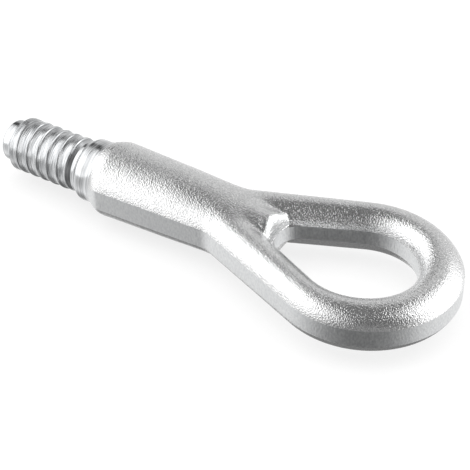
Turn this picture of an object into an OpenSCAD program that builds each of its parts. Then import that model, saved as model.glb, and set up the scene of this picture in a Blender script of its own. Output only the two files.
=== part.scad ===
// Screw-in towing eye, drop-forged in one piece.
// Lengths are in millimetres. The X axis is the axis of the thread and runs from the
// thread toward the eye. The eye lies flat in the XY plane, which is also the parting
// plane of the forging dies. X = 0 is the start of the turned collar.

/* [Thread] */

// Diameter over the crests of the rolled thread
thread_d = 20.4; // [19.6:0.2:21]
// Advance in one turn, right-handed
thread_pitch = 4.7; // [4.4:0.1:5]
// Depth from crest to root
thread_depth = 0.5; // [0.4:0.05:0.7]
// Length from the lead cone to the relief groove
thread_len = 26.4; // [22.4:0.4:28]
// Share of one pitch taken by the steep flank that faces the eye
flank_share = 0.06; // [0.04:0.01:0.1]
// Share of one pitch taken by the smooth flat crest
crest_share = 0.1; // [0.06:0.02:0.2]
// Length over which the thread grows to its full depth behind the lead cone
run_in = 7; // [5:0.5:9]
// Angle at which the first crest sets out
thread_start = 276; // [0:6:360]

/* [Nose] */

// Diameter of the plain nose in front of the thread
nose_d = 15.6; // [14.4:0.2:16.2]
// Length of the plain nose with its edge
nose_len = 3.8; // [3:0.2:6]
// Broken edge at the nose end
nose_edge = 0.8; // [0.4:0.1:1.2]

/* [Neck and collar] */

// Width of the relief groove behind the thread
relief_w = 2; // [1.6:0.1:2.6]
// Depth of the relief groove under the crests of the thread
relief_depth = 1.4; // [1:0.1:1.6]
// Diameter of the narrow ring between groove and collar
ring_d = 20.2; // [19.6:0.2:20.8]
// Length of the narrow ring
ring_w = 1.6; // [1.2:0.2:2.4]
// Diameter of the turned collar
collar_d = 23.4; // [22.6:0.2:24]
// Length of the straight part of the collar
collar_len = 4.5; // [3:0.5:6]
// Length of the shallow cone behind the collar
cone_len = 2.7; // [2:0.1:4]
// Diameter where turning ends and the forged skin begins
cone_d = 25.1; // [24.6:0.1:25.4]

/* [Shank] */

// Width of the shank next to the collar
shank_w = 29; // [28:0.5:30]
// Width of the shank where the legs part
shank_end_w = 26; // [24.5:0.5:28]
// Height of the shank next to the collar
shank_h = 27.2; // [26.6:0.2:28]
// Distance from the collar to where the crown begins to fall toward the legs
fall_start = 35; // [30:1:44]
// Height of the shank where the crown begins to fall
shank_end_h = 25.6; // [24.8:0.2:26.4]
// Length over which the forging swells out of the collar
swell_len = 5; // [4:0.5:6]
// Outside radius between shank and legs
fork_r = 11; // [8:1:20]

/* [Fork] */

// Distance from the collar to where the crown of the shank narrows to a tongue
tongue_start = 52; // [48:1:56]
// Width of the tongue between the legs at its end
tongue_w = 16.8; // [15.6:0.4:18]
// Height over both sides that the tongue falls to at its end
tongue_h = 18.4; // [17.6:0.4:19.6]
// Length of the rounded nose of the tongue over the opening
nose_round = 3.8; // [3:0.2:4.6]
// Height of each leg where it leaves the fork
leg_h = 18; // [17:0.4:19]

/* [Eye] */

// Distance from the collar to the far end of the eye
eye_end = 144.8; // [140:0.5:150]
// Outside angle of each leg to the axis
leg_angle = 20.7; // [19.5:0.3:21.9]
// Outside radius at the far end
eye_end_r = 30; // [28:0.5:31]
// Half the angle of the far end arc
eye_end_arc = 41.7; // [39:0.9:44]
// Outside radius at the sides
eye_side_r = 33.5; // [32:0.5:34.5]
// Height of the bar round the eye
bar_h = 17.8; // [16.6:0.4:19]

/* [Opening] */

// Distance from the collar to the narrow end of the opening
open_start = 79; // [77:0.5:81]
// Radius at the narrow end
open_tip_r = 8.8; // [7.6:0.2:9.4]
// Angle of the straight inner sides to the axis
open_angle = 23.7; // [22.2:0.3:24.6]
// Distance from the collar to the wide end of the opening
open_end = 129.8; // [128.2:0.4:131]
// Radius at the wide end
open_end_r = 17.3; // [16.1:0.3:18.2]
// Half the angle of the wide end arc
open_end_arc = 57.2; // [52:1.3:62]

/* [Trimmed edge] */

// Height of the flat edge along the shank, left by trimming the flash
edge_shank = 8; // [6:0.5:9]
// Height of the flat edge round the outside of the eye
edge_eye = 6.7; // [5:0.4:8]
// Height of the flat edge inside the opening
edge_inner = 5.6; // [4:0.4:7]

/* [Hidden] */

// how finely curved surfaces are divided
turn_fn = 72;
thread_cols = 45;
shank_ribs = 20;
rib_bunch = 1.6;
eye_ribs = 48;
rib_steps = 11;
swell_steps = 4;

// small overlap that keeps joined solids off each other's surfaces
lap = 0.05;
// clearance by which a hidden core stays inside the solid around it
core_gap = 0.3;

// stations along the axis, counted back from the collar
collar_flare = (collar_d - ring_d) / 2;
ring_x = -collar_flare - ring_w;
thread_x1 = ring_x - relief_w;
thread_x0 = thread_x1 - thread_len;
cone_h = (thread_d - nose_d) / 2;
nose_x1 = thread_x0 - cone_h;
nose_x0 = nose_x1 - nose_len;
root_r = thread_d / 2 - thread_depth;
relief_r = thread_d / 2 - relief_depth;
relief_floor = 0.3;
ring_slope = 0.3;
forged_x = collar_len + cone_len;
shank_x = forged_x + swell_len;

function dir(a) = [cos(a), sin(a)];
function left_of(a) = [-sin(a), cos(a)];
function mix(a, b, t) = a + (b - a) * t;
function clamp(t) = min(1, max(0, t));
function ease(t) = clamp(t) * clamp(t) * (3 - 2 * clamp(t));
function arc_len(r, a) = r * a * PI / 180;

// Turned blank: nose, lead cone, relief groove, ring and collar.
// A bar turned in one setting. Under the thread it is only the hidden core.
module turned_blank() {
  nose_r = nose_d / 2;
  cone_r = root_r;
  cone_x = nose_x1 + cone_r - nose_r;
  inner_r = relief_r - core_gap;
  color("silver")
  rotate([0, 90, 0])
  rotate_extrude($fn = turn_fn)
  polygon([
    [0, nose_x0],
    [nose_r - nose_edge, nose_x0],
    [nose_r, nose_x0 + nose_edge],
    [nose_r, nose_x1],
    [cone_r, cone_x],
    [inner_r, cone_x + core_gap],
    [inner_r, thread_x1 - core_gap],
    [root_r - lap, thread_x1 - lap],
    [relief_r, ring_x - ring_slope - relief_floor],
    [relief_r, ring_x - ring_slope],
    [ring_d / 2, ring_x],
    [ring_d / 2, -collar_flare],
    [collar_d / 2, 0],
    [collar_d / 2, collar_len],
    [cone_d / 2, forged_x + lap],
    [cone_d / 2 - core_gap, forged_x + core_gap],
    [cone_d / 2 - core_gap, shank_x],
    [0, shank_x]
  ]);
}

// Rolled thread. Each turn falls steeply on the side of the eye, which takes the pull, then
// runs on as a long shallow hollow that rises to the next crest.

rise_end = 1 - crest_share;
hollow_low = 0.35;
hollow_marks = [0, hollow_low, 0.7];
row_shares = concat(
  [0],
  [for (m = hollow_marks) mix(flank_share, rise_end, m)],
  [rise_end]
);
rows_per_turn = len(row_shares);

function hollow(t) = thread_depth * (1 - pow((t - hollow_low) / (1 - hollow_low), 2));
function thread_fall(f) =
  f < flank_share ? mix(0, hollow(0), f / flank_share) :
  hollow(clamp((f - flank_share) / (rise_end - flank_share)));

// share of the pitch from the crest edge on that angle
function turn_share(x, a) =
  let (f = (x - thread_x0) / thread_pitch - (a - thread_start) / 360)
  f - floor(f);

// lead cone at the front, bevel into the relief groove at the back
lead_x = nose_x1 + root_r - nose_d / 2 - lap;
tail_drop = 0.4;
function end_limit(x) =
  min(root_r + lap + x - lead_x, thread_d / 2 + max(-tail_drop, thread_x1 - tail_drop - x));
function thread_r(x, a) =
  let (fall = thread_fall(turn_share(x, a)) * ease((x - thread_x0) / run_in))
  max(root_r, min(thread_d / 2 - fall, end_limit(x)));

// plain rings close the thread at both ends, rows between them follow the helix
helix_x0 = thread_x0 + lap;
helix_x1 = thread_x1 - tail_drop;
lead_rings = 4;
tail_rings = 2;
lead_stations = [for (i = [0:lead_rings]) mix(lead_x, helix_x0, i / lead_rings)];
tail_stations = [for (i = [0:tail_rings]) mix(helix_x1, thread_x1, i / tail_rings)];
ring_stations = concat(lead_stations, tail_stations);
first_turn = -2;
spare_turns = 3;
turns = ceil(thread_len / thread_pitch) + spare_turns;
helix_rows = turns * rows_per_turn;

function ring_point(x, j) =
  let (a = 360 * j / thread_cols, r = thread_r(x, a))
  [x, r * cos(a), r * sin(a)];
function row_x(i, j) =
  thread_x0 + thread_pitch * (first_turn + floor(i / rows_per_turn)
    + row_shares[i % rows_per_turn] + j / thread_cols - thread_start / 360);
function row_point(i, j) =
  let (x = max(helix_x0, min(helix_x1, row_x(i, j))))
  ring_point(x, j);

// a row that has run past an end of the helix falls onto the ring there
function thread_id(i, j) =
  j == thread_cols ? thread_id(i + rows_per_turn, 0) :
  row_x(i, j) < helix_x0 + lap ? lead_rings * thread_cols + j :
  row_x(i, j) > helix_x1 - lap ? (lead_rings + 1) * thread_cols + j :
  (len(ring_stations) + i) * thread_cols + j;
function ring_id(k, j) = k * thread_cols + j % thread_cols;
function distinct(t) = t[0] != t[1] && t[1] != t[2] && t[0] != t[2];
function split_quad(a, b, c, d) = [for (t = [[a, c, b], [a, d, c]]) if (distinct(t)) t];

module rolled_thread() {
  points = concat(
    [for (x = ring_stations) for (j = [0:thread_cols - 1]) ring_point(x, j)],
    [for (i = [0:helix_rows - 1]) for (j = [0:thread_cols - 1]) row_point(i, j)]
  );
  ring_bands = [for (k = [0:len(ring_stations) - 2]) if (k != lead_rings) k];
  ring_faces = [for (k = ring_bands) for (j = [0:thread_cols - 1])
    each split_quad(ring_id(k, j), ring_id(k, j + 1), ring_id(k + 1, j + 1), ring_id(k + 1, j))];
  helix_faces = [for (i = [0:helix_rows - 2]) for (j = [0:thread_cols - 1])
    each split_quad(thread_id(i, j), thread_id(i, j + 1), thread_id(i + 1, j + 1), thread_id(i + 1, j))];
  front = [[for (j = [0:thread_cols - 1]) ring_id(0, j)]];
  back = [[for (j = [thread_cols - 1:-1:0]) ring_id(len(ring_stations) - 1, j)]];
  color("silver")
  polyhedron(points = points, faces = concat(front, ring_faces, helix_faces, back), convexity = 6);
}

// Forged shank and eye.
// Outside outline of the upper half, from the shank over the leg to the far end.
end_c = [eye_end - eye_end_r, 0];
end_p = end_c + eye_end_r * dir(eye_end_arc);
side_c = end_p - eye_side_r * dir(eye_end_arc);
leg_p = side_c + eye_side_r * dir(90 + leg_angle);
shank_p = [shank_x, shank_w / 2];
fork_p = [leg_p[0] - (leg_p[1] - shank_end_w / 2) / tan(leg_angle), shank_end_w / 2];
slope = atan2(fork_p[1] - shank_p[1], fork_p[0] - shank_p[0]);
fork_t = fork_r * tan((leg_angle - slope) / 2);
fork_p0 = fork_p - dir(slope) * fork_t;
fork_p1 = fork_p + dir(leg_angle) * fork_t;
fork_c = fork_p0 + fork_r * left_of(slope);
outer_runs = [
  norm(fork_p0 - shank_p),
  arc_len(fork_r, leg_angle - slope),
  norm(leg_p - fork_p1),
  arc_len(eye_side_r, 90 + leg_angle - eye_end_arc),
  arc_len(eye_end_r, eye_end_arc)
];
outer_marks = [0, for (i = 0, s = outer_runs[0]; i < 5; i = i + 1, s = s + (i < 5 ? outer_runs[i] : 0)) s];
function outer_part(i, t) =
  i == 0 ? mix(shank_p, fork_p0, t) :
  i == 1 ? fork_c + fork_r * dir(mix(slope, leg_angle, t) - 90) :
  i == 2 ? mix(fork_p1, leg_p, t) :
  i == 3 ? side_c + eye_side_r * dir(mix(90 + leg_angle, eye_end_arc, t)) :
  end_c + eye_end_r * dir(mix(eye_end_arc, 0, t));
function outer_at(s, i = 0) =
  s <= outer_marks[i + 1] || i == 4 ?
  outer_part(i, clamp((s - outer_marks[i]) / outer_runs[i])) : outer_at(s, i + 1);

// Outline of the opening, upper half, from its narrow end to its wide end.
tip_c = [open_start + open_tip_r, 0];
wide_c = [open_end - open_end_r, 0];
wide_p = wide_c + open_end_r * dir(open_end_arc);
inner_side_r = (open_tip_r - left_of(open_angle) * (wide_p - tip_c))
  / (1 - sin(open_end_arc - open_angle));
inner_side_c = wide_p - inner_side_r * dir(open_end_arc);
tip_p = tip_c + open_tip_r * dir(90 + open_angle);
inner_leg_p = inner_side_c + inner_side_r * dir(90 + open_angle);
inner_runs = [
  arc_len(open_tip_r, 90 - open_angle),
  norm(inner_leg_p - tip_p),
  arc_len(inner_side_r, 90 + open_angle - open_end_arc),
  arc_len(open_end_r, open_end_arc)
];
inner_marks = [0, for (i = 0, s = inner_runs[0]; i < 4; i = i + 1, s = s + (i < 4 ? inner_runs[i] : 0)) s];
function inner_part(i, t) =
  i == 0 ? tip_c + open_tip_r * dir(mix(180, 90 + open_angle, t)) :
  i == 1 ? mix(tip_p, inner_leg_p, t) :
  i == 2 ? inner_side_c + inner_side_r * dir(mix(90 + open_angle, open_end_arc, t)) :
  wide_c + open_end_r * dir(mix(open_end_arc, 0, t));
function inner_at(s, i = 0) =
  s <= inner_marks[i + 1] || i == 3 ?
  inner_part(i, clamp((s - inner_marks[i]) / inner_runs[i])) : inner_at(s, i + 1);

// Distances from a point to the two outlines.
far = 1000;
function line_gap(q, a, b) =
  let (t = clamp((q - a) * (b - a) / ((b - a) * (b - a))))
  norm(q - mix(a, b, t));
function arc_gap(q, c, r, a0, a1) =
  let (d = q - c, a = atan2(d[1], d[0]), w = a < a0 ? a + 360 : a)
  w <= a1 ? abs(norm(d) - r) : far;
function outer_gap(q) = min(
  line_gap(q, shank_p, fork_p0),
  arc_gap(q, fork_c, fork_r, slope - 90, leg_angle - 90),
  line_gap(q, fork_p1, leg_p),
  arc_gap(q, side_c, eye_side_r, eye_end_arc, 90 + leg_angle),
  arc_gap(q, end_c, eye_end_r, 0, eye_end_arc)
);
function inner_gap(q) = min(
  arc_gap(q, tip_c, open_tip_r, 90 + open_angle, 180),
  norm(q - tip_c - [-open_tip_r, 0]),
  line_gap(q, tip_p, inner_leg_p),
  arc_gap(q, inner_side_c, inner_side_r, open_end_arc, 90 + open_angle),
  arc_gap(q, wide_c, open_end_r, 0, open_end_arc)
);

// Heights along the axis. The crown of the shank runs on between the legs as a tongue.
level_x = eye_end - eye_end_r;
function shank_crown(x) =
  x < fall_start ? mix(shank_h, shank_end_h, (x - shank_x) / (fall_start - shank_x)) / 2 :
  mix(shank_end_h, tongue_h, ease((x - fall_start) / (open_start - fall_start))) / 2;
function leg_crown(x) = mix(leg_h, bar_h, ease((x - open_start) / (level_x - open_start))) / 2;
function edge_h(x) = mix(edge_shank, edge_eye, clamp((x - fall_start) / (level_x - fall_start))) / 2;

// Half width of the shank, and of the tongue that it narrows to.
function side_y(x) = shank_p[1] + (x - shank_x) * tan(slope);
function tongue_half(x) =
  mix(side_y(min(x, fall_start)), tongue_w / 2, ease((x - tongue_start) / (open_start - tongue_start)));

// Crown over a width, from the square of the share of the half width.
crown_flat = 0.92;
function dome(u2) =
  let (k = sqrt(1 - crown_flat * crown_flat))
  max(0, (sqrt(max(0, 1 - crown_flat * crown_flat * u2)) - k) / (1 - k));

// Each leg has its own crown, whose straight inner side is carried on to the axis.
leg_foot = [open_start + open_tip_r * (1 - 1 / sin(open_angle)), 0];
function leg_inner_gap(q) =
  q[0] < tip_c[0] && left_of(open_angle) * (q - leg_foot) < 0 ? 0 : min(
    line_gap(q, leg_foot, inner_leg_p),
    arc_gap(q, inner_side_c, inner_side_r, open_end_arc, 90 + open_angle),
    arc_gap(q, wide_c, open_end_r, 0, open_end_arc)
  );

// The tongue and the legs meet in a narrow valley with a small fillet.
valley_power = 5;
function tongue_rise(q, a, b, base) =
  let (across = q[1] / min(tongue_half(q[0]), q[1] + a), nose = max(0, 1 - b / nose_round))
  q[0] < tip_c[0] ? (shank_crown(q[0]) - base) * dome(across * across + nose * nose) : 0;
function leg_rise(q, a, base) =
  let (c = leg_inner_gap(q), u = (a - c) / (a + c))
  (leg_crown(q[0]) - base) * dome(u * u);
function skin_z(q) =
  let (a = outer_gap(q), b = inner_gap(q),
    base = mix(edge_h(q[0]), edge_inner / 2, a / (a + b)))
  base + pow(
    pow(tongue_rise(q, a, b, base), valley_power) + pow(leg_rise(q, a, base), valley_power),
    1 / valley_power
  );

// Ribs run across the upper half: to the axis along the shank, to the opening round the eye.
// They lie closer toward the nose of the tongue.
last_rib = shank_ribs + eye_ribs;
rib_lead = 3;
split_s = outer_marks[2] + (open_start - rib_lead - fork_p1[0]) / cos(leg_angle);
outer_total = outer_marks[5];
inner_total = inner_marks[4];
function bunch(i) = 1 - pow(1 - i / shank_ribs, rib_bunch);
function rib_outer(i) =
  i <= shank_ribs ? outer_at(split_s * bunch(i)) :
  outer_at(mix(split_s, outer_total, (i - shank_ribs) / eye_ribs));
function rib_inner(i) =
  i <= shank_ribs ? [mix(shank_x, open_start, bunch(i)), 0] :
  inner_at(inner_total * (i - shank_ribs) / eye_ribs);
function rib_share(i, k) =
  mix(1 - cos(90 * k / rib_steps), (1 - cos(180 * k / rib_steps)) / 2,
    ease((rib_inner(i)[0] - fall_start) / (open_start - fall_start)));
function rib_z(i, k, q) =
  k == 0 ? edge_h(q[0]) :
  k == rib_steps && i >= shank_ribs ? edge_inner / 2 : skin_z(q);
function rib_point(i, k) =
  let (q = mix(rib_outer(i), rib_inner(i), rib_share(i, k)))
  [q[0], q[1], rib_z(i, k, q)];

// Between collar and shank the round section swells to the forged one.
forged_step = 0.2;
forged_r = cone_d / 2 + forged_step;
first_section = [for (k = [0:rib_steps]) rib_point(0, k)];
function swell_at(i, p) =
  let (r = norm([p[1], p[2]]), t = i / swell_steps, s = mix(forged_r, r, sin(90 * t)) / r)
  [mix(forged_x, shank_x, t), p[1] * s, p[2] * s];
function swell_point(i, k) = swell_at(i, first_section[k]);

// One quarter of the skin is worked out and mirrored; points in the XZ plane are shared.
rib_count = swell_steps + last_rib + 1;
quarter = [for (i = [0:rib_count - 1]) for (k = [0:rib_steps])
  i < swell_steps ? swell_point(i, k) : rib_point(i - swell_steps, k)];
web_rib = swell_steps + shank_ribs;
function skin_id(i, k, sy, sz) =
  let (mid = i == rib_count - 1 || (k == rib_steps && i <= web_rib))
  (sy < 0 && !mid ? 1 : 0) * 2 * len(quarter) + (sz < 0 ? 1 : 0) * len(quarter)
  + i * (rib_steps + 1) + k;
function facing(a, b, c, d, flip) = flip ? split_quad(a, d, c, b) : split_quad(a, b, c, d);

// The trimmed edge comes out of the round section, so it has points in its middle there.
function mid_id(i, sy) = 4 * len(quarter) + (sy < 0 ? swell_steps : 0) + i;

module forged_body() {
  points = concat(
    [for (sy = [1, -1]) for (sz = [1, -1]) for (p = quarter) [p[0], p[1] * sy, p[2] * sz]],
    [for (sy = [1, -1]) for (i = [0:swell_steps - 1])
      let (m = swell_at(i, [shank_p[0], shank_p[1], 0])) [m[0], m[1] * sy, 0]]
  );
  skin = [for (sy = [1, -1]) for (sz = [1, -1])
    for (i = [0:rib_count - 2]) for (k = [0:rib_steps - 1])
    each facing(skin_id(i, k, sy, sz), skin_id(i, k + 1, sy, sz),
      skin_id(i + 1, k + 1, sy, sz), skin_id(i + 1, k, sy, sz), sy * sz < 0)];
  outside_edge = [for (sy = [1, -1]) for (i = [swell_steps:rib_count - 2])
    each facing(skin_id(i, 0, sy, -1), skin_id(i, 0, sy, 1),
      skin_id(i + 1, 0, sy, 1), skin_id(i + 1, 0, sy, -1), sy < 0)];
  swell_edge = [for (sy = [1, -1]) for (i = [0:swell_steps - 2])
    each concat(
      facing(skin_id(i, 0, sy, -1), mid_id(i, sy), mid_id(i + 1, sy), skin_id(i + 1, 0, sy, -1), sy < 0),
      facing(mid_id(i, sy), skin_id(i, 0, sy, 1), skin_id(i + 1, 0, sy, 1), mid_id(i + 1, sy), sy < 0)
    )];
  last_mid = swell_steps - 1;
  swell_end = [for (sy = [1, -1])
    let (m = mid_id(last_mid, sy), p = skin_id(swell_steps, 0, sy, -1), q = skin_id(swell_steps, 0, sy, 1))
    each concat(
      facing(skin_id(last_mid, 0, sy, -1), m, p, p, sy < 0),
      facing(m, q, p, p, sy < 0),
      facing(m, skin_id(last_mid, 0, sy, 1), q, q, sy < 0)
    )];
  inside_edge = [for (sy = [1, -1]) for (i = [web_rib:rib_count - 2])
    each facing(skin_id(i, rib_steps, sy, 1), skin_id(i, rib_steps, sy, -1),
      skin_id(i + 1, rib_steps, sy, -1), skin_id(i + 1, rib_steps, sy, 1), sy < 0)];
  front = [concat(
    [for (k = [0:rib_steps]) skin_id(0, k, 1, 1)],
    [for (k = [rib_steps - 1:-1:0]) skin_id(0, k, -1, 1)],
    [mid_id(0, -1)],
    [for (k = [0:rib_steps]) skin_id(0, k, -1, -1)],
    [for (k = [rib_steps - 1:-1:0]) skin_id(0, k, 1, -1)],
    [mid_id(0, 1)]
  )];
  color("silver")
  polyhedron(points = points, faces = concat(front, skin, outside_edge, swell_edge, swell_end, inside_edge),
    convexity = 8);
}

// The whole towing eye is one solid.

module tow_eye() {
  union() {
    turned_blank();
    rolled_thread();
    forged_body();
  }
}

tow_eye();
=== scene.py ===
import math

import bmesh
import bpy
import numpy as np
from mathutils import Matrix, Vector


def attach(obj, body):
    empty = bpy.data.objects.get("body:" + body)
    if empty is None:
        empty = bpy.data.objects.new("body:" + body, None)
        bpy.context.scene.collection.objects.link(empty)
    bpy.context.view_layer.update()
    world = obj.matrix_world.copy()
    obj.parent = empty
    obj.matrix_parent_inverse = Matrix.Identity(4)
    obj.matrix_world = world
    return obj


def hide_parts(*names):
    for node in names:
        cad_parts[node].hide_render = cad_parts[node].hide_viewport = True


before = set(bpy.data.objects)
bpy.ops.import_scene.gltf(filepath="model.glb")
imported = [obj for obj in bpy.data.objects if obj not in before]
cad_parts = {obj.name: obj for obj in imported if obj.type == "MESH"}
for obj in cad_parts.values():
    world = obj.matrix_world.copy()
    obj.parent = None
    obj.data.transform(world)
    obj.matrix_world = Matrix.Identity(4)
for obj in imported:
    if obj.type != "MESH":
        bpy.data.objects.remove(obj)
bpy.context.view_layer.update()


# The forged shank, fork and eye
# One bar of steel, drop-forged between two dies that meet in the XY plane: a thick shank
# that forks into two legs and closes in a teardrop. The shank's crown runs on between the
# legs as a narrowing tongue. The flash is trimmed off, which leaves a flat edge all round.

# lengths in millimetres, x from the start of the collar toward the eye, angles in degrees
SHANK_X0 = 12.2          # the first full section of the shank
SHANK_HALF_W = 14.5
SHANK_HALF_H = 13.6
FALL_X = 35.0            # from here the crown falls toward the opening
FALL_HALF_H = 12.8
FORK_HALF_W = 13.0       # half width where the two legs part
FORK_R = 11.0
LEG_ANGLE = 20.7
LEG_HALF_H = 9.0
BAR_HALF_H = 8.9
EYE_SIDE_R = 33.5
EYE_END = 144.8
EYE_END_R = 30.0
EYE_END_ARC = 41.7
OPEN_START = 79.0
OPEN_TIP_R = 8.8
OPEN_ANGLE = 23.7
OPEN_END = 129.8
OPEN_END_R = 17.3
OPEN_END_ARC = 57.2
EDGE_SHANK = 4.0         # half heights of the trimmed edge
EDGE_EYE = 3.35
EDGE_INNER = 2.8
TONGUE_X = 52.0          # from here the tongue narrows
TONGUE_HALF_W = 8.4
TONGUE_HALF_H = 9.2
TONGUE_ROUND = 3.8       # how far before the opening it rounds down
VALLEY_POWER = 5.0       # higher makes the valley beside the tongue narrower
CROWN_FLAT = 0.92        # 1 is a half round, less is flatter

# the end of the turned cone, and the small step up from it to the forged skin
TURNED_END = 7.2
TURNED_END_R = 12.55
STEP_W = 0.06
FORGED_R = 12.75

BEND_STEPS = 24
TIP_STEPS = 60
ARC_STEPS = 90


def direction(a):
    """Unit vector at an angle in degrees."""
    return np.array([math.cos(math.radians(a)), math.sin(math.radians(a))])


def ease(t):
    """Smooth rise from 0 to 1."""
    t = np.clip(t, 0, 1)
    return t * t * (3 - 2 * t)


def arc_points(centre, radius, a0, a1, n):
    """Points along an arc between two angles in degrees."""
    a = np.radians(np.linspace(a0, a1, n))
    return np.stack([centre[0] + radius * np.cos(a), centre[1] + radius * np.sin(a)], 1)


def eye_back(end, end_r, arc, side_r, angle):
    """Points of an outline from its far end back to where the straight leg begins."""
    centre = np.array([end - end_r, 0.0])
    p = centre + end_r * direction(arc)
    side = p - side_r * direction(arc)
    return np.concatenate([
        arc_points(centre, end_r, 0, arc, ARC_STEPS),
        arc_points(side, side_r, arc, 90 + angle, ARC_STEPS)[1:],
    ])


def along(points, n):
    """The same outline with n evenly spaced points."""
    s = np.r_[0, np.cumsum(np.linalg.norm(np.diff(points, axis=0), axis=1))]
    t = np.linspace(0, s[-1], n)
    return np.stack([np.interp(t, s, points[:, 0]), np.interp(t, s, points[:, 1])], 1)


def outside_outline():
    """Outside of the shank, fork and eye, and the slope of the shank's side."""
    ring = eye_back(EYE_END, EYE_END_R, EYE_END_ARC, EYE_SIDE_R, LEG_ANGLE)
    leg = ring[-1]
    start = np.array([SHANK_X0, SHANK_HALF_W])
    fork_x = leg[0] - (leg[1] - FORK_HALF_W) / math.tan(math.radians(LEG_ANGLE))
    fork = np.array([fork_x, FORK_HALF_W])
    slope = math.degrees(math.atan2(fork[1] - start[1], fork[0] - start[0]))
    run = FORK_R * math.tan(math.radians((LEG_ANGLE - slope) / 2))
    bend_start = fork - direction(slope) * run
    centre = bend_start + FORK_R * direction(slope + 90)
    bend = arc_points(centre, FORK_R, slope - 90, LEG_ANGLE - 90, BEND_STEPS)
    return np.concatenate([start[None], bend, ring[::-1]]), slope


def opening_outline():
    """The teardrop opening: a round tip, straight legs and a wide round end."""
    tip = np.array([OPEN_START + OPEN_TIP_R, 0.0])
    wide = np.array([OPEN_END - OPEN_END_R, 0.0])
    p = wide + OPEN_END_R * direction(OPEN_END_ARC)
    reach = direction(OPEN_ANGLE + 90) @ (p - tip)
    side_r = (OPEN_TIP_R - reach) / (1 - math.sin(math.radians(OPEN_END_ARC - OPEN_ANGLE)))
    ring = eye_back(OPEN_END, OPEN_END_R, OPEN_END_ARC, side_r, OPEN_ANGLE)
    narrow = arc_points(tip, OPEN_TIP_R, 180, 90 + OPEN_ANGLE, TIP_STEPS)
    return np.concatenate([narrow, ring[::-1]])


OUTSIDE, SIDE_SLOPE = outside_outline()
OPENING = opening_outline()

# the straight inner side of a leg, carried on to the axis
LEG_FOOT_X = OPEN_START + OPEN_TIP_R * (1 - 1 / math.sin(math.radians(OPEN_ANGLE)))
LEG_FOOT = np.array([LEG_FOOT_X, 0.0])
LEG_INSIDE = np.concatenate([LEG_FOOT[None], OPENING[TIP_STEPS:]])


def gap_to(points, outline):
    """Distance from each point to an outline made of short straight runs."""
    starts = outline[:-1]
    runs = outline[1:] - starts
    best = np.full(len(points), np.inf)
    for start, run in zip(starts, runs):
        t = np.clip(((points - start) @ run) / (run @ run), 0, 1)
        best = np.minimum(best, np.linalg.norm(points - start - t[:, None] * run, axis=1))
    return best


def shank_crown(x):
    """Height of the crown of the shank, which runs on between the legs as the tongue."""
    first = SHANK_HALF_H + (FALL_HALF_H - SHANK_HALF_H) * (x - SHANK_X0) / (FALL_X - SHANK_X0)
    fall = ease((x - FALL_X) / (OPEN_START - FALL_X))
    second = FALL_HALF_H + (TONGUE_HALF_H - FALL_HALF_H) * fall
    return np.where(x < FALL_X, first, second)


def leg_crown(x):
    """Height of the crown of the legs and of the bar round the eye."""
    level = EYE_END - EYE_END_R
    return LEG_HALF_H + (BAR_HALF_H - LEG_HALF_H) * ease((x - OPEN_START) / (level - OPEN_START))


def edge_height(x):
    """Half height of the trimmed edge, which is lower round the eye."""
    t = np.clip((x - FALL_X) / (EYE_END - EYE_END_R - FALL_X), 0, 1)
    return EDGE_SHANK + (EDGE_EYE - EDGE_SHANK) * t


def dome(u2):
    """Crown over a width, from the square of the distance to its middle line."""
    k = math.sqrt(1 - CROWN_FLAT ** 2)
    return np.maximum(0, (np.sqrt(np.maximum(0, 1 - CROWN_FLAT ** 2 * u2)) - k) / (1 - k))


def skin_height(p):
    """Height of the forged skin over the parting plane: a tongue and a leg, each with its
    own crown over its own width, and a valley between them."""
    x = p[:, 0]
    y = np.abs(p[:, 1])
    to_outside = gap_to(p, OUTSIDE)
    to_opening = gap_to(p, OPENING)
    inward = to_outside / (to_outside + to_opening)
    base = edge_height(x) + (EDGE_INNER - edge_height(x)) * inward
    slope = math.tan(math.radians(SIDE_SLOPE))
    side = SHANK_HALF_W + (np.minimum(x, FALL_X) - SHANK_X0) * slope
    half = side + (TONGUE_HALF_W - side) * ease((x - TONGUE_X) / (OPEN_START - TONGUE_X))
    across = y / np.minimum(half, y + to_outside)
    tongue_end = np.maximum(0, 1 - to_opening / TONGUE_ROUND)
    before = x < OPEN_START + OPEN_TIP_R
    tongue = (shank_crown(x) - base) * dome(across ** 2 + tongue_end ** 2)
    tongue = np.where(before, tongue, 0)
    beyond = (p - LEG_FOOT) @ direction(OPEN_ANGLE + 90) < 0
    to_inside = np.where(before & beyond, 0, gap_to(p, LEG_INSIDE))
    off_middle = (to_outside - to_inside) / (to_outside + to_inside)
    leg = (leg_crown(x) - base) * dome(off_middle ** 2)
    return base + (tongue ** VALLEY_POWER + leg ** VALLEY_POWER) ** (1 / VALLEY_POWER)


SWELL_RIBS = 16
SHANK_RIBS = 84
EYE_RIBS = 190
CROWN_STEPS = 34
EDGE_STEPS = 5
FINE_STEPS = 4000
RIB_TURN_X = OPEN_START - 3    # the rib that meets the outside here ends at the tip


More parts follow.
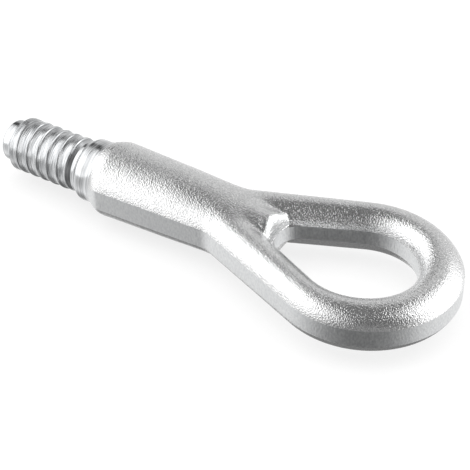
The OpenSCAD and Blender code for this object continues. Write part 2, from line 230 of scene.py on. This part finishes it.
def forged_quarter():
    """Ribs of the upper right quarter, each from the middle of the outer edge over the
    crown: to the axis along the shank, to the inner edge round the eye. The well is the
    trimmed wall of the opening."""
    fine = along(OUTSIDE, FINE_STEPS)
    turn = np.argmin(np.abs(fine[:, 0] - RIB_TURN_X))
    outer = np.concatenate([
        along(fine[:turn + 1], SHANK_RIBS + 1),
        along(fine[turn:], EYE_RIBS + 1)[1:],
    ])
    axis_x = np.linspace(SHANK_X0, OPEN_START, SHANK_RIBS + 1)
    axis = np.stack([axis_x, np.zeros(SHANK_RIBS + 1)], 1)
    inner = np.concatenate([axis, along(OPENING, EYE_RIBS + 1)[1:]])

    k = np.linspace(0, 1, CROWN_STEPS + 1)
    shank_share = 1 - np.cos(np.pi / 2 * k)
    eye_share = (1 - np.cos(np.pi * k)) / 2
    w = ease((inner[:, 0] - FALL_X) / (OPEN_START - FALL_X))[:, None]
    share = shank_share[None] + (eye_share - shank_share)[None] * w
    flat = outer[:, None] + (inner - outer)[:, None] * share[..., None]
    z = skin_height(flat.reshape(-1, 2)).reshape(flat.shape[:2])
    z[:, 0] = edge_height(outer[:, 0])
    z[SHANK_RIBS:, -1] = EDGE_INNER
    crown = np.concatenate([flat, z[..., None]], 2)

    up = np.linspace(0, 1, EDGE_STEPS + 1)[:-1]
    edge = np.concatenate([
        np.broadcast_to(outer[:, None], (len(outer), EDGE_STEPS, 2)),
        edge_height(outer[:, 0])[:, None, None] * up[None, :, None],
    ], 2)
    skin = np.concatenate([edge, crown], 1)

    down = EDGE_INNER * np.linspace(1, 0, EDGE_STEPS + 1)
    well = np.concatenate([
        np.broadcast_to(inner[SHANK_RIBS:, None], (EYE_RIBS + 1, EDGE_STEPS + 1, 2)),
        np.broadcast_to(down[None, :, None], (EYE_RIBS + 1, EDGE_STEPS + 1, 1)),
    ], 2)
    return skin, well


def swell(first):
    """Ribs that lead from the round end of the turning to the first forged section."""
    radius = np.hypot(first[:, 1], first[:, 2])
    angle = np.arctan2(first[:, 2], first[:, 1])
    even = np.linspace(0, np.pi / 2, len(first))
    rows = []
    for i in range(SWELL_RIBS):
        t = i / SWELL_RIBS
        r = FORGED_R + (radius - FORGED_R) * math.sin(t * math.pi / 2)
        a = even + (angle - even) * ease(t)
        x = TURNED_END + STEP_W + (SHANK_X0 - TURNED_END - STEP_W) * t
        rows.append(np.stack([np.full(len(first), x), r * np.cos(a), r * np.sin(a)], 1))
    return np.array(rows)


finishes = []


def zinc(name):
    """A new finish of the zinc plate: its number, its nodes, its shader, and the point on
    the steel that its grain is laid by."""
    material = bpy.data.materials.new(name)
    material.use_nodes = True
    finishes.append(material)
    tree = material.node_tree
    shader = tree.nodes["Principled BSDF"]
    shader.inputs["Metallic"].default_value = 1.0
    point = tree.nodes.new("ShaderNodeTexCoord").outputs["Object"]
    return len(finishes) - 1, tree, shader, point


def grain(tree, point, scale, detail=2.0, stretch=(1, 1, 1)):
    """Uneven grain, drawn out along the axes where its stretch is small."""
    laid = tree.nodes.new("ShaderNodeMapping")
    laid.inputs["Scale"].default_value = stretch
    tree.links.new(point, laid.inputs["Vector"])
    speckle = tree.nodes.new("ShaderNodeTexNoise")
    speckle.inputs["Scale"].default_value = scale
    speckle.inputs["Detail"].default_value = detail
    tree.links.new(laid.outputs["Vector"], speckle.inputs["Vector"])
    return speckle.outputs["Fac"]


def dents(tree, height, depth, over=None):
    """Turns grain into dents of a depth in metres, over the dents already there."""
    step = tree.nodes.new("ShaderNodeBump")
    step.inputs["Strength"].default_value = 1.0
    step.inputs["Distance"].default_value = depth
    tree.links.new(height, step.inputs["Height"])
    if over is not None:
        tree.links.new(over, step.inputs["Normal"])
    return step.outputs["Normal"]


def spread(tree, value, low, high, first, last):
    """Runs from first to last as a value goes from low to high."""
    step = tree.nodes.new("ShaderNodeMapRange")
    step.inputs["From Min"].default_value = low
    step.inputs["From Max"].default_value = high
    step.inputs["To Min"].default_value = first
    step.inputs["To Max"].default_value = last
    tree.links.new(value, step.inputs["Value"])
    return step.outputs["Result"]


def colours(tree, shader, value, low, high, dark, light):
    """Colours the zinc from dark to light by its grain."""
    mix = tree.nodes.new("ShaderNodeMix")
    mix.data_type = "RGBA"
    mix.inputs[6].default_value = (*dark, 1)
    mix.inputs[7].default_value = (*light, 1)
    tree.links.new(spread(tree, value, low, high, 0, 1), mix.inputs[0])
    tree.links.new(mix.outputs[2], shader.inputs["Base Color"])


# blasted skin: fine bright pits over faint waves
FORGED, tree, shader, point = zinc("blasted zinc on forged skin")
pits = grain(tree, point, scale=2100, detail=1)
waves = grain(tree, point, scale=300)
surface = dents(tree, waves, depth=0.00003)
surface = dents(tree, pits, depth=0.00019, over=surface)
colours(tree, shader, pits, 0.32, 0.68, dark=(0.72, 0.725, 0.73), light=(0.96, 0.96, 0.96))
tree.links.new(surface, shader.inputs["Normal"])
shader.inputs["Roughness"].default_value = 0.13

# trimmed edge: sheared, so duller, with short upright tears
TRIMMED, tree, shader, point = zinc("zinc on trimmed edge")
tears = grain(tree, point, scale=1500, stretch=(1, 1, 0.6))
pits = grain(tree, point, scale=1800)
surface = dents(tree, tears, depth=0.00008)
surface = dents(tree, pits, depth=0.00006, over=surface)
colours(tree, shader, tears, 0.35, 0.65, dark=(0.73, 0.74, 0.75), light=(0.87, 0.88, 0.88))
tree.links.new(surface, shader.inputs["Normal"])
rough = spread(tree, tears, low=0.3, high=0.7, first=0.3, last=0.42)
tree.links.new(rough, shader.inputs["Roughness"])

mesh_points = []
mesh_faces = []
mesh_finish = []


def add_sheet(grid, finish, flip=False):
    """Adds a sheet of four-sided faces; finish gives the surface of each column of faces."""
    n, m = grid.shape[:2]
    base = sum(len(p) for p in mesh_points)
    mesh_points.append(grid.reshape(-1, 3))
    i, j = np.meshgrid(np.arange(n - 1), np.arange(m - 1), indexing="ij")
    a = base + i * m + j
    quad = np.stack([a, a + 1, a + m + 1, a + m], -1).reshape(-1, 4)
    mesh_faces.append(quad[:, ::-1] if flip else quad)
    mesh_finish.append(np.broadcast_to(np.asarray(finish)[None], (n - 1, m - 1)).reshape(-1))


skin_ribs, well_ribs = forged_quarter()
skin_ribs = np.concatenate([swell(skin_ribs[0]), skin_ribs])
skin_finish = np.r_[np.full(EDGE_STEPS, TRIMMED), np.full(CROWN_STEPS, FORGED)]
for sy in (1, -1):
    for sz in (1, -1):
        mirror = np.array([1, sy, sz])
        add_sheet(skin_ribs * mirror, skin_finish, sy * sz < 0)
        add_sheet(well_ribs * mirror, np.full(EDGE_STEPS, TRIMMED), sy * sz < 0)


# The turned nose
# The plain end of the same bar, turned in a lathe to a round nose with a broken edge and
# a short cone behind it. It leads the thread into its socket.

NOSE_X0 = -37.8
NOSE_X1 = -34.0
NOSE_R = 7.8
NOSE_BREAK = 0.8
FACE_RING_R = 3.5
FACE_R = 6.0
THREAD_R = 10.2
THREAD_DEPTH = 0.5
ROOT_R = THREAD_R - THREAD_DEPTH
LEAD_X0 = NOSE_X1 + ROOT_R - NOSE_R
MOST_ROUND = 0.48
ROUND_STEPS = 5

columns = 4 * (CROWN_STEPS + EDGE_STEPS)
turn_angles = np.linspace(0, 2 * np.pi, columns + 1)


def turned_rows(profile):
    """Rings of a turned surface from (station, radius) pairs."""
    p = np.array(profile)
    return np.stack([
        np.broadcast_to(p[:, :1], (len(p), len(turn_angles))),
        p[:, 1:] * np.cos(turn_angles)[None],
        p[:, 1:] * np.sin(turn_angles)[None],
    ], 2)


def rounded(corners):
    """Turned profile from (station, radius, rounding). A rounding takes no more than half
    of the run on either side of its corner."""
    places = [np.array(corner[:2]) for corner in corners]
    out = [tuple(places[0])]
    for before, corner, after, bend in zip(places, places[1:], places[2:], corners[1:]):
        rounding = bend[2]
        if rounding == 0:
            out.append(tuple(corner))
            continue
        back = np.linalg.norm(before - corner)
        on = np.linalg.norm(after - corner)
        a = corner + (before - corner) / back * min(rounding, back * MOST_ROUND)
        b = corner + (after - corner) / on * min(rounding, on * MOST_ROUND)
        for t in np.linspace(0, 1, ROUND_STEPS):
            out.append(tuple((1 - t) ** 2 * a + 2 * t * (1 - t) * corner + t * t * b))
    out.append(tuple(places[-1]))
    return out


# turned steel: fine lines round the axis
TURNED, tree, shader, point = zinc("zinc on turned collar")
lines = grain(tree, point, scale=1300, stretch=(1, 0.05, 0.05))
surface = dents(tree, lines, depth=0.00007)
colours(tree, shader, lines, 0.35, 0.65, dark=(0.50, 0.51, 0.52), light=(0.81, 0.82, 0.83))
tree.links.new(surface, shader.inputs["Normal"])
shader.inputs["Roughness"].default_value = 0.2

nose_edge = rounded([
    (NOSE_X0, FACE_R, 0),
    (NOSE_X0, NOSE_R - NOSE_BREAK, 0.3),
    (NOSE_X0 + NOSE_BREAK, NOSE_R, 0.4),
    (NOSE_X1, NOSE_R, 0.5),
    (LEAD_X0, ROOT_R, 0),
])
nose_rows = turned_rows([(NOSE_X0, 0.0), (NOSE_X0, FACE_RING_R)] + nose_edge)
add_sheet(nose_rows, np.full(columns, TURNED))


# The rolled thread
# Five coarse right-hand turns and a half, pressed into the bar between rolling dies and
# not cut. A sharp crest has a steep narrow flank toward the eye, then a long shallow
# hollow rises to the next crest. The first turn starts softly behind the cone.

PITCH = 4.7
THREAD_X0 = -31.6
THREAD_X1 = -5.2
THREAD_START = 276.0     # where round the bar the first crest begins, in degrees
FLANK_SHARE = 0.075      # shares of a turn: the flank, then the hollow up to the crest
RISE_END = 0.9
HOLLOW_LOW = 0.35        # the lowest line of the hollow, as a share of its width
RUN_IN = 7.0             # length over which the hollow reaches its depth
TAIL_DROP = 0.4
FULL_TURN = 360
FIRST_TURN = -2
LAST_TURN = 8
LEAD_RINGS = 12
TAIL_RINGS = 7
HOLLOW_ROWS = np.linspace(0.12, 0.95, 14)
FLANK_ROWS = np.array([0, 0.03, 0.07, 0.13, 0.2, 0.35, 0.5, 0.65, 0.8, 0.87, 0.93, 1])
HAIR = 0.05              # keeps rings that fold together a hair apart


def thread_drop(share):
    """How far the surface lies under the crest, from the share of the turn."""
    along_hollow = np.clip((share - FLANK_SHARE) / (RISE_END - FLANK_SHARE), 0, 1)
    hollow = 1 - ((along_hollow - HOLLOW_LOW) / (1 - HOLLOW_LOW)) ** 2
    return THREAD_DEPTH * hollow * ease(share / FLANK_SHARE)


def thread_radius(x, a):
    """Radius of the thread at a station and an angle."""
    turn = (x - THREAD_X0) / PITCH - (np.degrees(a) - THREAD_START) / FULL_TURN
    r = THREAD_R - thread_drop(turn - np.floor(turn)) * ease((x - THREAD_X0) / RUN_IN)
    lead = ROOT_R + (x - LEAD_X0)
    tail = THREAD_R + np.maximum(-TAIL_DROP, THREAD_X1 - TAIL_DROP - x)
    return np.maximum(ROOT_R, np.minimum(r, np.minimum(lead, tail)))


# rows that follow the helix, close together down the flank and even along the hollow;
# past the ends of the thread they fold onto plain rings
row_shares = np.r_[FLANK_SHARE * FLANK_ROWS, HOLLOW_ROWS]
lead_x = np.linspace(LEAD_X0, THREAD_X0 + HAIR, LEAD_RINGS)
tail_x = np.linspace(THREAD_X1 - TAIL_DROP, THREAD_X1, TAIL_RINGS)


def thread_grid():
    """Rows of the thread: plain rings up the cone, the helix, plain rings at its end."""
    turns = np.arange(FIRST_TURN, LAST_TURN)
    start = (turns[:, None] + row_shares[None]).reshape(-1)
    climb = (np.degrees(turn_angles)[None] - THREAD_START) / FULL_TURN
    x = np.clip(THREAD_X0 + PITCH * (start[:, None] + climb), lead_x[-1], tail_x[0])
    keep = (x.max(1) > lead_x[-1]) & (x.min(1) < tail_x[0])
    first = np.argmax(keep) - 1
    last = len(keep) - np.argmax(keep[::-1])
    x = np.concatenate([
        np.broadcast_to(lead_x[:-1, None], (len(lead_x) - 1, len(turn_angles))),
        x[first:last + 1],
        np.broadcast_to(tail_x[1:, None], (len(tail_x) - 1, len(turn_angles))),
    ])
    r = thread_radius(x, turn_angles[None])
    return np.stack([x, r * np.cos(turn_angles)[None], r * np.sin(turn_angles)[None]], 2)


# rolled steel: lines drawn out along the turns, over small pits
ROLLED, tree, shader, point = zinc("zinc on rolled thread")
lines = grain(tree, point, scale=2200, stretch=(1, 0.08, 0.08))
pits = grain(tree, point, scale=700)
surface = dents(tree, lines, depth=0.00014)
surface = dents(tree, pits, depth=0.00004, over=surface)
colours(tree, shader, lines, 0.35, 0.65, dark=(0.42, 0.43, 0.44), light=(0.82, 0.83, 0.84))
tree.links.new(surface, shader.inputs["Normal"])
shader.inputs["Roughness"].default_value = 0.27

thread_rows = thread_grid()
add_sheet(thread_rows, np.full(columns, ROLLED))


# The relief groove, ring and collar
# Turned on the same bar behind the thread: a groove for the rolling dies to run out in, a
# narrow ring, and a collar that fits the mouth of the socket. The groove's zinc is darkened as
# painted shade, and a dark band on the cone behind the collar is a painted shadow line at the
# step up to the forged skin.

GROOVE_R = 8.8
GROOVE_W = 0.3
RING_X = -3.2
RING_R = 10.1
FLARE = 1.6
COLLAR_R = 11.7
COLLAR_END = 4.5
# a band of darker zinc just before the step up to the forged skin: a painted shadow line
SHADE_LINE_W = 0.4
SHADE_LINE_X = TURNED_END - SHADE_LINE_W
SHADE_LINE_R = TURNED_END_R - SHADE_LINE_W * (TURNED_END_R - COLLAR_R) / (TURNED_END - COLLAR_END)

# lines in the groove as turned, with the zinc darkened: painted shade in the recess
PAINTED_SHADE, tree, shader, point = zinc("dull zinc in the relief groove")
lines = grain(tree, point, scale=1800, stretch=(1, 0.06, 0.06))
surface = dents(tree, lines, depth=0.00005)
colours(tree, shader, lines, 0.35, 0.65, dark=(0.44, 0.45, 0.46), light=(0.72, 0.73, 0.74))
tree.links.new(surface, shader.inputs["Normal"])
shader.inputs["Roughness"].default_value = 0.3

collar_edge = rounded([
    (THREAD_X1, ROOT_R - HAIR, 0),
    (RING_X - 2 * GROOVE_W, GROOVE_R, 0.3),
    (RING_X - GROOVE_W, GROOVE_R, 0.1),
    (RING_X, RING_R, 0.4),
    (-FLARE, RING_R, 0.8),
    (0, COLLAR_R, 0.8),
    (COLLAR_END, COLLAR_R, 1.5),
    (SHADE_LINE_X, SHADE_LINE_R, 0),
    (TURNED_END, TURNED_END_R, 0.05),
    (TURNED_END + STEP_W, FORGED_R, 0),
])
collar_rows = np.concatenate([thread_rows[-1:], turned_rows(collar_edge)])
ring_at = np.argmax(collar_rows[:, 0, 0] > RING_X - GROOVE_W / 2)
shade_line_at = np.argmax(collar_rows[:, 0, 0] >= SHADE_LINE_X)
# the groove takes the darkened zinc: painted shade in the recess
add_sheet(collar_rows[:ring_at + 1], np.full(columns, PAINTED_SHADE))
add_sheet(collar_rows[ring_at:shade_line_at + 1], np.full(columns, TURNED))
# the last band of the cone takes the darkened zinc: a painted shadow line at the step
add_sheet(collar_rows[shade_line_at:], np.full(columns, PAINTED_SHADE))


# The whole eye, closed and plated
# Eye, shank and thread are one piece of steel, zinc plated as one after all the work on
# it. The sheets above are joined point to point, and the trimmed edge keeps its sharp
# corner on the shank and at the far end.

MM = 0.001
JOIN_DIGITS = 5
SOFT_EDGE_X0 = 52.0      # between these the trimmed edge runs softly into the skin
SOFT_EDGE_X1 = 106.0
SHARP_ANGLE = math.radians(34)

points = np.concatenate(mesh_points)
first_of, same = np.unique(
    np.round(points, JOIN_DIGITS), axis=0, return_index=True, return_inverse=True)[1:]
corners = same.reshape(-1)[np.concatenate(mesh_faces)]

faces = []
face_finish = []
for face, kind in zip(corners.tolist(), np.concatenate(mesh_finish).tolist()):
    kept = [v for i, v in enumerate(face) if v != face[i - 1]]
    if len(set(kept)) >= 3:
        faces.append(kept)
        face_finish.append(kind)

mesh = bpy.data.meshes.new("tow_eye_steel")
mesh.from_pydata((points[first_of] * MM).tolist(), [], faces)
mesh.update()
for finish in finishes:
    mesh.materials.append(finish)
for face, kind in zip(mesh.polygons, face_finish):
    face.material_index = kind
    face.use_smooth = True

bm = bmesh.new()
bm.from_mesh(mesh)
for edge in bm.edges:
    kinds = {face.material_index for face in edge.link_faces}
    at_fork = SOFT_EDGE_X0 * MM < edge.verts[0].co.x < SOFT_EDGE_X1 * MM
    if kinds == {FORGED, TRIMMED} and not at_fork:
        edge.smooth = False
    elif kinds != {FORGED} and edge.calc_face_angle(0) > SHARP_ANGLE:
        edge.smooth = False
bm.to_mesh(mesh)
bm.free()

steel = bpy.data.objects.new("tow_eye_steel", mesh)
bpy.context.scene.collection.objects.link(steel)
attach(steel, "root")
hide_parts("tow_eye")


# The table top
# A plain white board under the eye, not part of it. It glows as a light table does, so
# it stays nearly white, and the metal mirrors the studio's own table instead of it.

TABLE_SIZE = 6
TABLE_Z = -13.62 * MM
MIDDLE_X = 0.06

bpy.ops.mesh.primitive_plane_add(size=TABLE_SIZE, location=(MIDDLE_X, 0, TABLE_Z))
table = bpy.context.object
table.name = "table_top"
white = bpy.data.materials.new("white table top")
white.use_nodes = True
shader = white.node_tree.nodes["Principled BSDF"]
shader.inputs["Base Color"].default_value = (0.24, 0.24, 0.24, 1)
shader.inputs["Roughness"].default_value = 0.9
shader.inputs["Specular IOR Level"].default_value = 0.0
shader.inputs["Emission Color"].default_value = (1, 1, 1, 1)
shader.inputs["Emission Strength"].default_value = 0.76
table.data.materials.append(white)
table.visible_glossy = False


# The studio
# What the bare metal mirrors: pale walls, a dark gap overhead and ahead, a small dark gap
# behind on the left, and a table that darkens toward the front. Two soft boxes stand to
# the left and right, and a third overhead only lights.

world = bpy.data.worlds.new("studio")
bpy.context.scene.world = world
world.use_nodes = True
studio = world.node_tree
ray = studio.nodes.new("ShaderNodeTexCoord").outputs["Generated"]


def toward(way):
    """How nearly a ray goes one way: 1 straight along it, 0 square to it."""
    share = studio.nodes.new("ShaderNodeVectorMath")
    share.operation = "DOT_PRODUCT"
    share.inputs[1].default_value = way
    studio.links.new(ray, share.inputs[0])
    return share.outputs["Value"]


def between(value, start, end, first, last):
    """Blends from one brightness to another as a value goes from start to end."""
    step = studio.nodes.new("ShaderNodeMapRange")
    step.inputs["From Min"].default_value = start
    step.inputs["From Max"].default_value = end
    for name, level in (("To Min", first), ("To Max", last)):
        if isinstance(level, float):
            step.inputs[name].default_value = level
        else:
            studio.links.new(level, step.inputs[name])
    studio.links.new(value, step.inputs["Value"])
    return step.outputs["Result"]


height = toward((0, 0, 1))
ahead = toward((0.375, -0.927, 0.0))
back_left = toward((-0.76, 0.47, 0.45))

wall = between(ahead, start=0.28, end=0.45, first=0.66, last=0.15)
wall = between(height, start=0.785, end=0.84, first=wall, last=0.19)
wall = between(back_left, start=0.95, end=0.965, first=wall, last=0.03)
low_wall = between(ahead, start=0.4, end=0.6, first=0.62, last=0.3)
far_table = between(ahead, start=0.3, end=0.75, first=0.8, last=0.3)
near_table = between(ahead, start=0.2, end=0.7, first=0.98, last=0.085)
underneath = between(height, start=-0.7, end=-0.1, first=near_table, last=far_table)
underneath = between(height, start=-0.85, end=-0.7, first=0.22, last=underneath)
skirting = between(height, start=-0.08, end=0.04, first=underneath, last=low_wall)
all_round = between(height, start=0.15, end=0.4, first=skirting, last=wall)
backdrop = studio.nodes["Background"]
backdrop.inputs["Color"].default_value = (1, 1, 1, 1)
studio.links.new(all_round, backdrop.inputs["Strength"])

MIDDLE = Vector((MIDDLE_X, 0.0, 0.0))


def soft_box(name, azimuth, elevation, distance, width, tall, glow, seen=True):
    """Soft box aimed at the eye from an azimuth off the front, with its brightness."""
    a = math.radians(azimuth)
    e = math.radians(elevation)
    out = Vector((math.sin(a) * math.cos(e), -math.cos(a) * math.cos(e), math.sin(e)))
    light = bpy.data.lights.new(name, "AREA")
    light.shape = "RECTANGLE"
    light.size = width
    light.size_y = tall
    light.energy = glow * math.pi * width * tall
    box = bpy.data.objects.new(name, light)
    bpy.context.scene.collection.objects.link(box)
    box.location = MIDDLE + out * distance
    box.rotation_mode = "QUATERNION"
    box.rotation_quaternion = (-out).to_track_quat("-Z", "Y")
    box.visible_glossy = seen


soft_box("front_left", azimuth=-60, elevation=30, distance=1.6, width=3.8, tall=1.85, glow=0.97)
soft_box("right", azimuth=122, elevation=22, distance=1.6, width=2.2, tall=2.5, glow=0.98)
soft_box("fill_above", azimuth=0, elevation=90, distance=1.8, width=2.4, tall=2.4, glow=2.0,
         seen=False)


# The camera
# A long lens above and in front of the eye, to the right of it and tipped a little, as
# the photograph was taken.

AZIMUTH = math.radians(34.07)
ELEVATION = math.radians(39.05)
ROLL = math.radians(-1.80)
DISTANCE = 439.37
TARGET = np.array([64.93, -5.20, 0.0])
FOCAL_PIXELS = 1286.2
PICTURE_PIXELS = 470
SENSOR = 36

back = np.array([
    math.sin(AZIMUTH) * math.cos(ELEVATION),
    -math.cos(AZIMUTH) * math.cos(ELEVATION),
    math.sin(ELEVATION),
])
level_right = np.array([math.cos(AZIMUTH), math.sin(AZIMUTH), 0.0])
level_up = np.cross(back, level_right)
right = math.cos(ROLL) * level_right + math.sin(ROLL) * level_up
up = -math.sin(ROLL) * level_right + math.cos(ROLL) * level_up
stand = (TARGET + back * DISTANCE) * MM
lens = bpy.data.cameras.new("camera")
lens.sensor_width = SENSOR
lens.lens = FOCAL_PIXELS / PICTURE_PIXELS * SENSOR
lens.clip_start = 0.01
lens.clip_end = 20
camera = bpy.data.objects.new("camera", lens)
bpy.context.scene.collection.objects.link(camera)
rows = [[right[i], up[i], back[i], stand[i]] for i in range(3)]
camera.matrix_world = Matrix(rows + [[0, 0, 0, 1]])
bpy.context.scene.camera = camera
bpy.context.scene.view_settings.view_transform = "Standard"
